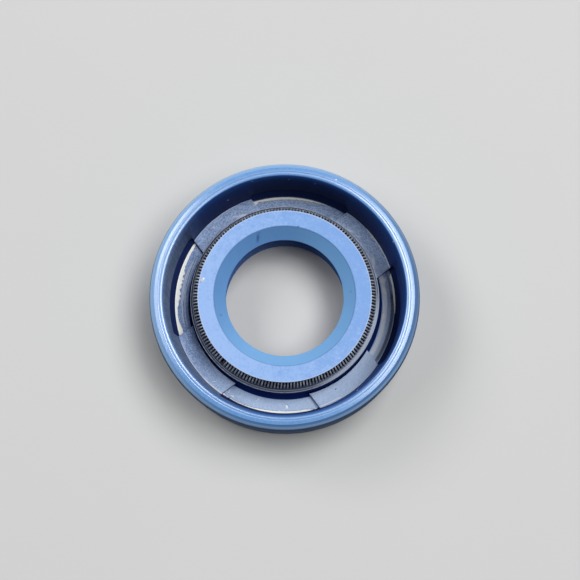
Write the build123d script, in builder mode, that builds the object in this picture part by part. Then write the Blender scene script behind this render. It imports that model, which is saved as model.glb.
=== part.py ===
from build123d import *

import os
from math import acos, cos, degrees, pi, radians, sin

# Radial shaft seal: rubber moulded round a steel case, with a garter spring behind the sealing lip.
# +Z runs along the shaft, from the dust side to the spring side.
# The origin is the centre of the back face, and all sizes are in millimetres.

# ---------------------------------------------------------------- driving dimensions

shaft_d = 12.0              # shaft that the lips run on
housing_d = 25.0            # housing bore that the seal is pressed into
width = 7.0                 # axial width, back face to rim
press_allowance = 0.2       # rubber outside diameter over the housing bore
lip_interference = 0.9      # free sealing edge under the shaft diameter
dust_interference = 0.3     # free dust edge under the shaft diameter
sheet = 0.8                 # steel sheet of the case
back_cover = 0.75           # rubber over the back of the case
wire_d = 0.25               # spring wire
coil_d = 1.35               # outside diameter of one spring coil
coil_count = 176            # coils round the closed spring
pad_count = 4               # rubber pads, with as many windows between them
pad_width = 6.95            # across the parallel sides of a pad
pad_start = 45.0            # angle of the first pad's centre line, degrees
nib_angle = 237.0           # where the spring's two ends meet, degrees

# ---------------------------------------------------------------- sizes that follow

# Outside and rim
outer_r = (housing_d + press_allowance) / 2
lead_in = 0.45              # radial step of the chamfer at the back
lead_in_length = 0.9
rim_shoulder = 0.95         # the full diameter starts this far below the rim
rim_bevel = 0.3
rim_edge_width = 0.58       # from the full diameter in to the flat land of the rim
rim_land_width = 0.42
rim_land_outer_r = outer_r - rim_edge_width
rim_land_inner_r = rim_land_outer_r - rim_land_width
rim_bead = 0.45             # rounding between the rim's land and its inner wall

# Steel case
case_cover = 0.55           # rubber over the outside of the case
case_outer_r = outer_r - case_cover
case_inner_r = case_outer_r - sheet
case_bend = 0.6             # inside bend radius
case_floor = back_cover + sheet
rim_cover = 0.7             # rubber over the top edge of the case
case_top = width - rim_cover
case_bore_r = 9.45

# Channel, pads and windows
pad_height = 0.55           # pad over the steel
pad_top = case_floor + pad_height
pad_inner_r = 9.15
wall_foot_cover = 0.5       # rubber inside the case at the foot of the drafted wall
wall_edge_cover = 0.2       # and at its top edge
wall_edge_depth = 0.55      # the wall's top edge under the rim
window_cover = 0.15         # rubber inside the case in a window
pad_outer_r = case_inner_r - wall_foot_cover
wall_edge_r = case_inner_r - wall_edge_cover
wall_edge = width - wall_edge_depth
window_wall_r = case_inner_r - window_cover
window_foot = 0.65          # height of the sloped foot of a window's wall
film = 0.1                  # rubber skin left on the steel in a window
film_inner_r = pad_inner_r + 0.3
film_fall = 0.265           # height of the slope from the skin down to the channel
strip_width = 0.32          # steel left bare at the foot of a window's wall
bend_gap = 0.03             # the bare steel ends this far inside the bend
strip_outer_r = case_inner_r - case_bend - bend_gap
strip_inner_r = strip_outer_r - strip_width
channel_floor = 1.25
neck_outer_r = 8.35

# Sealing lip and spring groove
lip_r = (shaft_d - lip_interference) / 2
lip_band = 0.2              # width of the contact band
lip_edge = 4.4              # height of the band's lower edge
lip_face_depth = 1.05       # flat face of the lip under the rim
lip_face = width - lip_face_depth
lip_face_inner_r = 6.63
lip_face_outer_r = 8.12
spring_r = 7.95             # radius of the ring that the coils are wound on
spring_depth = 1.1          # centre of the coils under the lip's face
spring_height = lip_face - spring_depth
groove_clearance = 0.02
groove_r = coil_d / 2 + groove_clearance
flange_r = 8.95             # retaining flange under the spring
flange_thickness = 0.42
throat_r = 6.75             # end of the lip's slope on the air side
throat_height = 2.5

# Dust lip and the grease space behind it
dust_r = (shaft_d - dust_interference) / 2
dust_edge = 0.45
dust_root_r = 7.1
dust_root_top = 1.45
dust_root_bottom = 0.7
grease_r = 7.25
grease_height = 1.9
recess_r = 7.35             # edge of the recess in the back face

# Flats that stand for the small curves of the section
bend_flats = 2
bead_flats = 3
groove_flats = 5
channel_flats = 3


def flats(centre, radius, start, end, count):
    """Points of a run of flats, each tangent to a curve of the section, with the run's two ends."""
    step = (end - start) / count
    points = [Vector(*centre) + Vector(radius, 0).rotate(Axis.Z, start)]
    for index in range(count):
        reach = radius / cos(radians(step) / 2)
        points.append(Vector(*centre) + Vector(reach, 0).rotate(Axis.Z, start + (index + 0.5) * step))
    points.append(Vector(*centre) + Vector(radius, 0).rotate(Axis.Z, end))
    return points


# ---------------------------------------------------------------- steel case

# An L section: a leg along the outside and a flat flange towards the shaft, with one bend.
with BuildPart() as metal_case:
    with BuildSketch(Plane.XZ):
        with BuildLine():
            bend_centre = (case_inner_r - case_bend, case_floor + case_bend)
            Polyline(
                *flats(bend_centre, case_bend + sheet, -90, 0, bend_flats),
                (case_outer_r, case_top),
                (case_inner_r, case_top),
                *flats(bend_centre, case_bend, 0, -90, bend_flats),
                (case_bore_r, case_floor),
                (case_bore_r, back_cover),
                close=True,
            )
        make_face()
    revolve(axis=Axis.Z)
metal_case.part.label = "metal_case"


# ---------------------------------------------------------------- windows

# The mould's supports keep four windows free of rubber down to a thin skin on the steel.
# The ring-shaped space is interrupted by the pads, whose sides are parallel.
with BuildPart() as windows:
    with BuildSketch(Plane.XZ):
        with BuildLine():
            Polyline(
                (pad_inner_r - film, case_floor + film - film_fall),
                (film_inner_r, case_floor + film),
                (strip_inner_r, case_floor + film),
                (strip_inner_r, case_floor),
                (strip_outer_r, case_floor),
                (window_wall_r, case_floor + window_foot),
                (wall_edge_r, wall_edge),
                (pad_outer_r - film, wall_edge),
                (pad_outer_r - film, pad_top + film),
                (pad_inner_r - film, pad_top + film),
                close=True,
            )
        make_face()
    revolve(axis=Axis.Z)
    with BuildSketch(Plane.XY):
        with PolarLocations(0, pad_count // 2, start_angle=pad_start, angular_range=180):
            Rectangle(housing_d, pad_width)
    extrude(amount=width, mode=Mode.SUBTRACT)


# ---------------------------------------------------------------- rubber body

# One moulding, from the outside round the rim, down the wall, across the pads and the channel,
# round the sealing lip and back along the dust lip.
with BuildPart() as seal_body:
    with BuildSketch(Plane.XZ):
        with BuildLine():
            mouth_angle = degrees(acos((lip_face_outer_r - spring_r) / groove_r))
            flange_top = spring_height - groove_r
            channel_r = (pad_inner_r - neck_outer_r) / 2
            channel_centre = (neck_outer_r + channel_r, channel_floor + channel_r)
            bead_centre = (rim_land_inner_r, width - rim_bead)
            Polyline(
                # outside and back face
                (outer_r, width - rim_shoulder),
                (outer_r, lead_in_length),
                (outer_r - lead_in, 0),
                (recess_r, 0),
                # dust lip and grease space
                (dust_root_r, dust_root_bottom),
                (dust_r, dust_edge),
                (dust_root_r, dust_root_top),
                (grease_r, grease_height),
                (throat_r, throat_height),
                # sealing lip
                (lip_r, lip_edge),
                (lip_r, lip_edge + lip_band),
                (lip_face_inner_r, lip_face),
                (lip_face_outer_r, lip_face),
                # spring groove, open towards the outside
                *flats((spring_r, spring_height), groove_r, mouth_angle, 270, groove_flats),
                # retaining flange, and the neck that lets the lip flex
                (flange_r, flange_top),
                (flange_r, flange_top - flange_thickness),
                (neck_outer_r, flange_top - flange_thickness - (flange_r - neck_outer_r)),
                *flats(channel_centre, channel_r, 180, 360, channel_flats),
                # pads and drafted wall
                (pad_inner_r, pad_top),
                (pad_outer_r, pad_top),
                (wall_edge_r, wall_edge),
                # rim
                *flats(bead_centre, rim_bead, 180, 90, bead_flats),
                (rim_land_outer_r, width),
                (rim_land_outer_r + rim_bevel, width - rim_bevel),
                close=True,
            )
        make_face()
    revolve(axis=Axis.Z)
    add(metal_case.part, mode=Mode.SUBTRACT)
    add(windows.part, mode=Mode.SUBTRACT)
seal_body.part.label = "seal_body"


# ---------------------------------------------------------------- garter spring

# One wire wound close into coils round a ring.  Its last coils are wound smaller: this nib is
# screwed into the first coils and closes the ring.
coil_r = (coil_d - wire_d) / 2
facets_per_coil = 5
wire_side = wire_d * (pi / 4) ** 0.5        # square section with the round wire's area
wire_mitre = wire_side / cos(pi / facets_per_coil)
nib_clearance = 0.005
nib_coil_r = coil_r - wire_mitre - nib_clearance
nib_coils = 3
nib_start = coil_count - 1.3                # the winding narrows over one turn from here


def coil_radius(turn):
    """Radius of the winding at a number of turns from the wire's start."""
    taper = min(max(turn - nib_start, 0.0), 1.0)
    return coil_r + (nib_coil_r - coil_r) * taper


def wire_plane(turn):
    """Plane across the wire at a number of turns from its start."""
    round_ring = radians(nib_angle) + 2 * pi * turn / coil_count
    round_coil = 2 * pi * turn
    ring_out = Vector(cos(round_ring), sin(round_ring), 0)
    ring_along = Vector(-sin(round_ring), cos(round_ring), 0)
    coil_out = ring_out * cos(round_coil) + Vector(0, 0, sin(round_coil))
    coil_along = Vector(0, 0, cos(round_coil)) - ring_out * sin(round_coil)
    centre = Vector(0, 0, spring_height) + ring_out * spring_r + coil_out * coil_radius(turn)
    heading = ring_along * (spring_r / coil_count) + coil_along * coil_radius(turn)
    return Plane(origin=centre, x_dir=coil_out, z_dir=heading)


def wire_section(turn):
    """Corners of the wire's section at a number of turns from its start."""
    plane = wire_plane(turn)
    half_width, half_height = wire_mitre / 2, wire_side / 2
    corners = [(1, 1), (-1, 1), (-1, -1), (1, -1)]
    return [plane.from_local_coords((half_width * x, half_height * y, 0)) for x, y in corners]


def wire_facets():
    """Flat facets of the whole wire: two for each side between sections, and two at each end."""
    turns = (coil_count + nib_coils) * facets_per_coil
    sections = [wire_section(step / facets_per_coil) for step in range(turns + 1)]
    triangles = []
    for near, far in zip(sections, sections[1:]):
        for side in range(len(near)):
            after = (side + 1) % len(near)
            triangles.append((near[side], near[after], far[after]))
            triangles.append((near[side], far[after], far[side]))
    for end in (sections[0][::-1], sections[-1]):
        triangles.append((end[0], end[1], end[2]))
        triangles.append((end[0], end[2], end[3]))
    return [Face(Wire.make_polygon(corners)) for corners in triangles]


with BuildPart() as garter_spring:
    add(Solid(Shell(wire_facets())))
garter_spring.part.label = "garter_spring"


# ---------------------------------------------------------------- files

os.makedirs("parts", exist_ok=True)
export_step(seal_body.part, "parts/seal_body.step")
export_step(metal_case.part, "parts/metal_case.step")
export_step(garter_spring.part, "parts/garter_spring.step")
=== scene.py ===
"""Radial shaft seal: blue rubber body, steel case and garter spring, on a pale studio floor."""

import logging
import math
from dataclasses import dataclass, field
from enum import Enum
from functools import cached_property

import bpy
import numpy as np
from mathutils import Matrix, Vector, noise


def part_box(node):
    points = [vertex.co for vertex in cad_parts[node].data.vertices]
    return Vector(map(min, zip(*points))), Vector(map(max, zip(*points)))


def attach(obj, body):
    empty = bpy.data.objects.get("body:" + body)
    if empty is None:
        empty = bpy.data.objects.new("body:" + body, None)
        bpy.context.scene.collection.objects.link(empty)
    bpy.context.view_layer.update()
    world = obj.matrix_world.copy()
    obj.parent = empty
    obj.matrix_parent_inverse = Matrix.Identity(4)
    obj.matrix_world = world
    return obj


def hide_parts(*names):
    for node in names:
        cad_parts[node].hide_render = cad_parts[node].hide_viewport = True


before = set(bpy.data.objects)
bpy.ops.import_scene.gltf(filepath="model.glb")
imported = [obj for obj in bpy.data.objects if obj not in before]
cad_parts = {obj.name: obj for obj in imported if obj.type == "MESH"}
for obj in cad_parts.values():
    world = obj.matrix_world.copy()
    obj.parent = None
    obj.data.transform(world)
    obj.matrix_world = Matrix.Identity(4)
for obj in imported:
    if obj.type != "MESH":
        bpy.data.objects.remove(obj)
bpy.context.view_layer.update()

log = logging.getLogger("shaft_seal")

MM = 0.001
FULL_TURN = 2 * math.pi

Point = tuple[float, float]
Colour = tuple[float, float, float]
Socket = bpy.types.NodeSocket
Number = Socket | float
Tint = Socket | Colour


# ---------------------------------------------------------------- small helpers


def smooth(value: np.ndarray | float, low: float, high: float) -> np.ndarray | float:
    """Eases a value from 0 at low to 1 at high.

    Args:
        value: One number or an array of them.
        low: Where the result leaves 0.
        high: Where the result reaches 1.

    Returns:
        The eased numbers, between 0 and 1.
    """
    share = np.clip((value - low) / (high - low), 0.0, 1.0)
    return share * share * (3.0 - 2.0 * share)


def new_piece(name: str, points: np.ndarray, faces: np.ndarray) -> bpy.types.Object:
    """Makes a smooth-shaded mesh object.

    Args:
        name: The piece's name.
        points: Vertices in millimetres, one row each.
        faces: Vertex numbers of four-sided faces, one row each.

    Returns:
        The object, linked to the scene and placed in the row frame.
    """
    mesh = bpy.data.meshes.new(name)
    mesh.from_pydata((points * MM).tolist(), [], faces.tolist())
    mesh.validate()
    mesh.polygons.foreach_set("use_smooth", [True] * len(mesh.polygons))
    mesh.update()
    piece = bpy.data.objects.new(name, mesh)
    bpy.context.scene.collection.objects.link(piece)
    return piece


def ring_faces(lines: int, stations: int) -> np.ndarray:
    """Faces of a closed tube made of lines of stations, closed both ways.

    Args:
        lines: How many lines of points go round.
        stations: How many points each line has.

    Returns:
        Vertex numbers, four to a face.
    """
    line = np.arange(lines)[:, None]
    station = np.arange(stations)[None, :]
    next_line = (line + 1) % lines
    next_station = (station + 1) % stations
    corners = [
        line * stations + station,
        next_line * stations + station,
        next_line * stations + next_station,
        line * stations + next_station,
    ]
    return np.stack(corners, axis=-1).reshape(-1, 4)


def round_points(radii: np.ndarray | float, bearings: np.ndarray, heights: np.ndarray) -> np.ndarray:
    """Points round the shaft's line.

    Args:
        radii: Their radii.
        bearings: Their bearings, in radians.
        heights: Their heights.

    Returns:
        X, Y and Z of each point, one row each.
    """
    points = [radii * np.cos(bearings), radii * np.sin(bearings), heights]
    return np.stack(points, axis=-1).reshape(-1, 3)


def outward(bearing: float, elevation: float) -> Vector:
    """The direction from the seal towards a lamp or the camera.

    Args:
        bearing: Its bearing in degrees.
        elevation: How far it stands over the floor, in degrees.

    Returns:
        The direction, one unit long.
    """
    turn, rise = math.radians(bearing), math.radians(elevation)
    return Vector((math.cos(turn) * math.cos(rise), math.sin(turn) * math.cos(rise), math.sin(rise)))


def dress(piece: bpy.types.Object, material: bpy.types.Material) -> None:
    """Gives a piece one material in place of what it had."""
    piece.data.materials.clear()
    piece.data.materials.append(material)


# ---------------------------------------------------------------- node sheets


class Sum(Enum):
    """The steps of arithmetic that the finishes take, by the Math node's names."""

    ADD = "ADD"
    SUBTRACT = "SUBTRACT"
    MULTIPLY = "MULTIPLY"
    DIVIDE = "DIVIDE"
    LARGER = "MAXIMUM"
    SIZE = "ABSOLUTE"
    ROOT = "SQRT"
    COSINE = "COSINE"
    SINE = "SINE"


@dataclass(frozen=True)
class Fade:
    """An easing of one number into another: start up to low, end from high on."""

    low: float
    high: float
    start: float = 0.0
    end: float = 1.0


@dataclass(frozen=True)
class Clouds:
    """Cloudy noise: clouds to a unit, octaves of finer clouds, and the strength of these."""

    scale: float
    detail: float = 3.0
    rough: float = 0.6


@dataclass(frozen=True)
class Lines:
    """Cloudy noise drawn out in lines: clouds to a millimetre along and across them."""

    along: float
    across: float
    clouds: Clouds
    twist: float = 0.0


class NodeSheet:
    """A new material's node tree, with short calls for the nodes that the finishes use."""

    def __init__(self, name: str) -> None:
        """Starts an empty tree with a Principled shader joined to the output.

        Args:
            name: The material's name.
        """
        self.material = bpy.data.materials.new(name)
        self.material.use_nodes = True
        self.tree = self.material.node_tree
        self.tree.nodes.clear()
        self.shader = self.node("ShaderNodeBsdfPrincipled")
        output = self.node("ShaderNodeOutputMaterial")
        self.tree.links.new(self.shader.outputs["BSDF"], output.inputs["Surface"])

    @cached_property
    def place(self) -> Socket:
        """The place on the object, in millimetres of the row frame.

        Returns:
            The place's vector.
        """
        scale = self.node("ShaderNodeVectorMath")
        scale.operation = "SCALE"
        self.feed(scale.inputs[0], self.node("ShaderNodeTexCoord").outputs["Object"])
        scale.inputs["Scale"].default_value = 1.0 / MM
        return scale.outputs["Vector"]

    @cached_property
    def facing(self) -> Socket:
        """How squarely the surface lies across the shaft, from 0 on a wall to 1 on a flat."""
        normal = self.node("ShaderNodeTexCoord").outputs["Normal"]
        return self.calc(Sum.SIZE, self.parts(normal)[2])

    def node(self, kind: str) -> bpy.types.Node:
        """A new node of a kind."""
        return self.tree.nodes.new(kind)

    def feed(self, target: Socket, source: Socket | float | tuple[float, ...]) -> None:
        """Joins a socket to another, or sets its value.

        Args:
            target: The input socket.
            source: An output socket, a number or a tuple.
        """
        if isinstance(source, bpy.types.NodeSocket):
            self.tree.links.new(source, target)
        else:
            target.default_value = source

    def surface(self, **inputs: Number) -> None:
        """Sets the shader's own sockets.

        Args:
            inputs: What each socket gets, by the socket's name with underscores for spaces.
        """
        for name, source in inputs.items():
            self.feed(self.shader.inputs[name.replace("_", " ")], source)

    def calc(self, step: Sum, first: Number, second: Number = 0.0) -> Socket:
        """One step of arithmetic on numbers.

        Args:
            step: The step.
            first: Its first value.
            second: Its second value, where it has one.

        Returns:
            The result.
        """
        maths = self.node("ShaderNodeMath")
        maths.operation = step.value
        self.feed(maths.inputs[0], first)
        self.feed(maths.inputs[1], second)
        return maths.outputs["Value"]

    def times(self, first: Number, *others: Number) -> Number:
        """Multiplies numbers.

        Args:
            first: The first number.
            others: The others, taken one after the other.

        Returns:
            Their product.
        """
        for other in others:
            first = self.calc(Sum.MULTIPLY, first, other)
        return first

    def blend(self, first: Number, second: Number, share: float) -> Socket:
        """A share of one number and the rest of another."""
        return self.calc(Sum.ADD, self.times(first, share), self.times(second, 1.0 - share))

    def parts(self, vector: Socket) -> list[Socket]:
        """Takes a vector apart.

        Args:
            vector: The vector.

        Returns:
            Its X, Y and Z.
        """
        split = self.node("ShaderNodeSeparateXYZ")
        self.feed(split.inputs["Vector"], vector)
        return [split.outputs[axis] for axis in "XYZ"]

    def vector(self, *parts: Number) -> Socket:
        """Puts a vector together.

        Args:
            parts: Its X, Y and Z.

        Returns:
            The vector.
        """
        join = self.node("ShaderNodeCombineXYZ")
        for axis, value in zip("XYZ", parts):
            self.feed(join.inputs[axis], value)
        return join.outputs["Vector"]

    def distance(self, first: Number, second: Number) -> Socket:
        """Distance of a point from where two crossing axes meet."""
        squares = self.calc(Sum.ADD, self.times(first, first), self.times(second, second))
        return self.calc(Sum.ROOT, squares)

    def radius(self, place: Socket) -> Socket:
        """Distance of a place from the shaft's line."""
        return self.distance(*self.parts(place)[:2])

    def lean(self, direction: Point, place: Socket | None = None) -> Socket:
        """How far a place lies along a direction across the seal.

        Args:
            direction: The direction's X and Y.
            place: The place, or nothing for the surface's own.

        Returns:
            The distance, times the direction's length.
        """
        x, y, _ = self.parts(self.place if place is None else place)
        return self.calc(Sum.ADD, self.times(x, direction[0]), self.times(y, direction[1]))

    def noise(self, clouds: Clouds, vector: Socket | None = None) -> Socket:
        """Cloudy noise between 0 and 1, over the surface or over a given vector."""
        return self.cloud_node(clouds, self.place if vector is None else vector).outputs["Fac"]

    def cloud_node(self, clouds: Clouds, vector: Socket) -> bpy.types.Node:
        """Adds a noise node.

        Args:
            clouds: The noise that it gives.
            vector: Where to read it.

        Returns:
            The node.
        """
        cloud = self.node("ShaderNodeTexNoise")
        self.feed(cloud.inputs["Vector"], vector)
        cloud.inputs["Scale"].default_value = clouds.scale
        cloud.inputs["Detail"].default_value = clouds.detail
        cloud.inputs["Roughness"].default_value = clouds.rough
        return cloud

    def wobble(self, clouds: Clouds, amount: float) -> Socket:
        """Shifts places a little this way and that, so that edges drawn with them turn uneven.

        Args:
            clouds: The noise that shifts them.
            amount: The largest shift in millimetres.

        Returns:
            The shifted places.
        """
        centred = self.node("ShaderNodeVectorMath")
        centred.operation = "SUBTRACT"
        self.feed(centred.inputs[0], self.cloud_node(clouds, self.place).outputs["Color"])
        centred.inputs[1].default_value = (0.5, 0.5, 0.5)
        shift = self.node("ShaderNodeVectorMath")
        shift.operation = "MULTIPLY_ADD"
        self.feed(shift.inputs[0], centred.outputs["Vector"])
        shift.inputs[1].default_value = (2 * amount, 2 * amount, 2 * amount)
        self.feed(shift.inputs[2], self.place)
        return shift.outputs["Vector"]

    def upright(self, lines: Lines) -> Socket:
        """Noise drawn out in lines that run up a wall.

        Args:
            lines: The lines, along the wall's height and across it.

        Returns:
            The noise, between 0 and 1.
        """
        x, y, z = self.parts(self.place)
        across = [self.times(part, lines.across) for part in (x, y)]
        return self.noise(lines.clouds, self.vector(*across, self.times(z, lines.along)))

    def streaks(self, lines: Lines) -> Socket:
        """Noise drawn out in lines round the shaft, turned by the lines' twist.

        Args:
            lines: The lines. Their twist is in radians to a millimetre of radius.

        Returns:
            The noise, between 0 and 1.
        """
        x, y, _ = self.parts(self.place)
        radius = self.radius(self.place)
        turn = self.times(radius, lines.twist)
        cosine, sine = self.calc(Sum.COSINE, turn), self.calc(Sum.SINE, turn)
        east = self.calc(Sum.SUBTRACT, self.times(x, cosine), self.times(y, sine))
        north = self.calc(Sum.ADD, self.times(x, sine), self.times(y, cosine))
        along = [self.times(part, lines.along) for part in (east, north)]
        return self.noise(lines.clouds, self.vector(*along, self.times(radius, lines.across)))

    def ease(self, value: Socket, fade: Fade) -> Socket:
        """Eases a number.

        Args:
            value: The number.
            fade: Where the easing starts and ends, and what it gives there.

        Returns:
            The eased number.
        """
        span = self.node("ShaderNodeMapRange")
        span.interpolation_type = "SMOOTHSTEP"
        self.feed(span.inputs["Value"], value)
        span.inputs["From Min"].default_value = fade.low
        span.inputs["From Max"].default_value = fade.high
        span.inputs["To Min"].default_value = fade.start
        span.inputs["To Max"].default_value = fade.end
        return span.outputs["Result"]

    def mix(self, share: Number, first: Tint, second: Tint) -> Socket:
        """Mixes two colours.

        Args:
            share: How much of the second.
            first: The first colour.
            second: The second colour.

        Returns:
            The mixed colour.
        """
        blend = self.node("ShaderNodeMix")
        blend.data_type = "RGBA"
        self.feed(blend.inputs["Factor"], share)
        for socket, colour in zip((blend.inputs["A"], blend.inputs["B"]), (first, second)):
            self.feed(socket, colour if isinstance(colour, bpy.types.NodeSocket) else (*colour, 1.0))
        return blend.outputs["Result"]

    def bump(self, height: Socket, depth: float, under: Socket | None = None) -> Socket:
        """Bumps the surface.

        Args:
            height: The height, between 0 and 1.
            depth: The full height in millimetres.
            under: The normal of coarser bumps under these.

        Returns:
            The bumped normal.
        """
        relief = self.node("ShaderNodeBump")
        relief.inputs["Distance"].default_value = depth * MM
        self.feed(relief.inputs["Height"], height)
        if under is not None:
            self.feed(relief.inputs["Normal"], under)
        return relief.outputs["Normal"]


# ---------------------------------------------------------------- marks and zones of the rubber


@dataclass(frozen=True)
class Mark:
    """A small mark on the rubber: a fleck, a nick or a flow line."""

    bearing: float
    radius: float
    height: float
    length: float
    width: float
    colour: Colour
    slant: float = 0.0
    core: float = 0.45
    strength: float = 1.0

    def share(self, sheet: NodeSheet, place: Socket) -> Socket:
        """How much of the mark's colour lies at a place.

        Args:
            sheet: The material's node sheet.
            place: The place in millimetres.

        Returns:
            0 outside the mark, up to its strength inside.
        """
        angle = math.radians(self.bearing)
        axes = sheet.node("ShaderNodeMapping")
        axes.vector_type = "TEXTURE"
        sheet.feed(axes.inputs["Vector"], place)
        centre = (self.radius * math.cos(angle), self.radius * math.sin(angle), self.height)
        axes.inputs["Location"].default_value = centre
        axes.inputs["Rotation"].default_value = (0.0, 0.0, angle + math.radians(self.slant))
        axes.inputs["Scale"].default_value = (self.length, self.width, max(self.width, self.length))
        distance = sheet.node("ShaderNodeVectorMath")
        distance.operation = "LENGTH"
        sheet.feed(distance.inputs[0], axes.outputs["Vector"])
        return sheet.ease(distance.outputs["Value"], Fade(1.0, self.core, 0.0, self.strength))


@dataclass(frozen=True)
class Streak:
    """A narrow band of another colour that runs part of the way round the shaft."""

    bearing: float
    half_angle: float
    radius: float
    half_width: float
    height: float
    colour: Colour
    strength: float = 1.0
    fade: float = 3.0
    edge: Point = (1.5, 0.5)
    depth: Point = (0.30, 0.15)

    def share(self, sheet: NodeSheet, place: Socket) -> Socket:
        """How much of the streak's colour lies at a place.

        Args:
            sheet: The material's node sheet.
            place: The place in millimetres.

        Returns:
            0 outside the streak, up to its strength inside.
        """
        radius = sheet.radius(place)
        angle = math.radians(self.bearing)
        reach = sheet.lean((math.cos(angle), math.sin(angle)), place)
        ends = [math.cos(math.radians(half)) for half in (self.half_angle + self.fade, self.half_angle)]
        along = sheet.ease(sheet.calc(Sum.DIVIDE, reach, radius), Fade(*ends))
        sides = [side * self.half_width for side in self.edge]
        off_line = sheet.calc(Sum.SIZE, sheet.calc(Sum.SUBTRACT, radius, self.radius))
        off_level = sheet.calc(Sum.SUBTRACT, sheet.parts(place)[2], self.height)
        level = sheet.ease(sheet.calc(Sum.SIZE, off_level), Fade(*self.depth, 0.0, self.strength))
        return sheet.times(along, sheet.ease(off_line, Fade(*sides)), level)


@dataclass(frozen=True)
class Zone:
    """A ring-shaped part of the body, where the rubber has a look of its own."""

    inner_r: float
    outer_r: float
    bottom: float
    top: float
    fade: float = 0.12
    strength: float = 1.0

    def share(self, sheet: NodeSheet) -> Socket:
        """How far the surface lies in the zone.

        Args:
            sheet: The material's node sheet.

        Returns:
            0 outside, the zone's strength inside, fading over its edges.
        """
        radius, height = sheet.radius(sheet.place), sheet.parts(sheet.place)[2]
        limits = (
            sheet.ease(radius, Fade(self.inner_r - self.fade, self.inner_r)),
            sheet.ease(radius, Fade(self.outer_r + self.fade, self.outer_r)),
            sheet.ease(height, Fade(self.bottom - self.fade, self.bottom)),
            sheet.ease(height, Fade(self.top + self.fade, self.top)),
        )
        return sheet.times(*limits, self.strength)

    def paint(self, sheet: NodeSheet, under: Socket, colour: Tint) -> Socket:
        """A colour laid over another in the zone."""
        return sheet.mix(self.share(sheet), under, colour)


# ---------------------------------------------------------------- finishes


BODY_BLUE: Colour = (0.070, 0.160, 0.345)
# painted shade: navy laid where shade falls, at the walls' feet and low on the back wall
FOOT_SHADE_NAVY: Colour = (0.0015, 0.013, 0.085)
# pale scuff colour: real scuffs and specks, and also painted highlight on rounded edges
SCUFF_AND_HIGHLIGHT: Colour = (0.560, 0.650, 0.850)


class Finish:
    """What every finish can do: make its material."""

    def material(self) -> bpy.types.Material:
        """The finish as a new material."""
        raise NotImplementedError


@dataclass(frozen=True)
class LipRubber:
    """The lip's face and cone and the other flats: mottled bloom, paler to one side."""

    bloom: Colour = (0.185, 0.355, 0.720)
    pale_bloom: Colour = (0.300, 0.475, 0.830)
    bloom_drift: Point = (-0.017, -0.010)
    bloom_fade: Fade = Fade(0.30, 0.70)
    cone: Colour = (0.200, 0.465, 0.820)
    shaded_cone: Colour = (0.120, 0.320, 0.660)
    back_left: Point = (-0.87, 0.50)
    cone_fade: Fade = Fade(-1.0, 6.0)
    zone: Zone = Zone(5.0, 8.25, 4.60, 8.0)
    cone_zone: Zone = Zone(5.50, 6.58, 4.40, 5.95, 0.03, 0.85)
    corner_zone: Zone = Zone(6.575, 6.645, 5.80, 6.10, 0.045, 0.35)
    # painted highlight: a pale ring on the face's rounded outer edge
    edge_zone: Zone = Zone(8.05, 8.12, 5.90, 6.10, 0.03, 0.6)

    def colour(self, sheet: NodeSheet, mottle: Socket) -> Socket:
        """The flats' colour.

        Args:
            sheet: The material's node sheet.
            mottle: The cloudiness of the bloom, between 0 and 1.

        Returns:
            The colour of the lip and of every other flat.
        """
        cloud = sheet.calc(Sum.ADD, mottle, sheet.lean(self.bloom_drift))
        colour = sheet.mix(sheet.ease(cloud, self.bloom_fade), self.bloom, self.pale_bloom)
        shade = sheet.ease(sheet.lean(self.back_left), self.cone_fade)
        colour = self.cone_zone.paint(sheet, colour, sheet.mix(shade, self.cone, self.shaded_cone))
        colour = self.corner_zone.paint(sheet, colour, BODY_BLUE)
        # painted highlight on the face's outer edge
        return self.edge_zone.paint(sheet, colour, SCUFF_AND_HIGHLIGHT)


@dataclass(frozen=True)
class WallRubber:
    """The walls: deep blue, with upright lines of dust and painted light on the left, and painted shade, navy
    towards the foot at the back.
    """

    deep: Colour = (0.002, 0.032, 0.220)
    upper: Colour = (0.005, 0.055, 0.245)
    dust_and_light: Colour = (0.200, 0.280, 0.420)
    left: Point = (-0.90, -0.43)
    left_fade: Fade = Fade(4.5, 9.5, 0.05, 1.0)
    lines: Lines = Lines(0.25, 4.0, Clouds(1.0, 3.0, 0.55))
    line_fade: Fade = Fade(0.35, 0.70, 0.65, 1.0)
    dust_light_bottom: Fade = Fade(2.0, 3.0)
    dust_light_top: Fade = Fade(7.0, 5.6, 0.75, 1.0)
    upper_fade: Fade = Fade(4.8, 6.5)
    back_shade_fade: Fade = Fade(2.0, 8.0)
    shade_height_fade: Fade = Fade(5.6, 3.0, 0.0, 0.85)
    specks: Clouds = Clouds(7.0, 2.0, 0.5)
    speck_fade: Fade = Fade(0.72, 0.80, 0.0, 0.35)
    # painted shade at the foot of the windows' walls
    shaded_foot_zones: tuple[Zone, ...] = (
        Zone(10.66, 11.30, 1.50, 2.02, 0.04),
        Zone(11.00, 11.50, 1.50, 2.30, 0.25),
    )

    def colour(self, sheet: NodeSheet) -> Socket:
        """The walls' colour.

        Args:
            sheet: The material's node sheet.

        Returns:
            The colour, without the painted shade at the foot of the windows' walls.
        """
        _, y, z = sheet.parts(sheet.place)
        left = sheet.ease(sheet.lean(self.left), self.left_fade)
        lines = sheet.ease(sheet.upright(self.lines), self.line_fade)
        middle = sheet.times(sheet.ease(z, self.dust_light_bottom), sheet.ease(z, self.dust_light_top))
        wall = sheet.mix(sheet.ease(z, self.upper_fade), self.deep, self.upper)
        # painted shade: the back wall navy low down, where it faces away from the light
        back = sheet.times(sheet.ease(y, self.back_shade_fade), sheet.ease(z, self.shade_height_fade))
        wall = sheet.mix(back, wall, FOOT_SHADE_NAVY)
        # dust and painted light: paler upright lines on the left wall, which faces the lamps
        wall = sheet.mix(sheet.times(left, lines, middle), wall, self.dust_and_light)
        return sheet.mix(sheet.ease(sheet.noise(self.specks), self.speck_fade), wall, SCUFF_AND_HIGHLIGHT)


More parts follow.
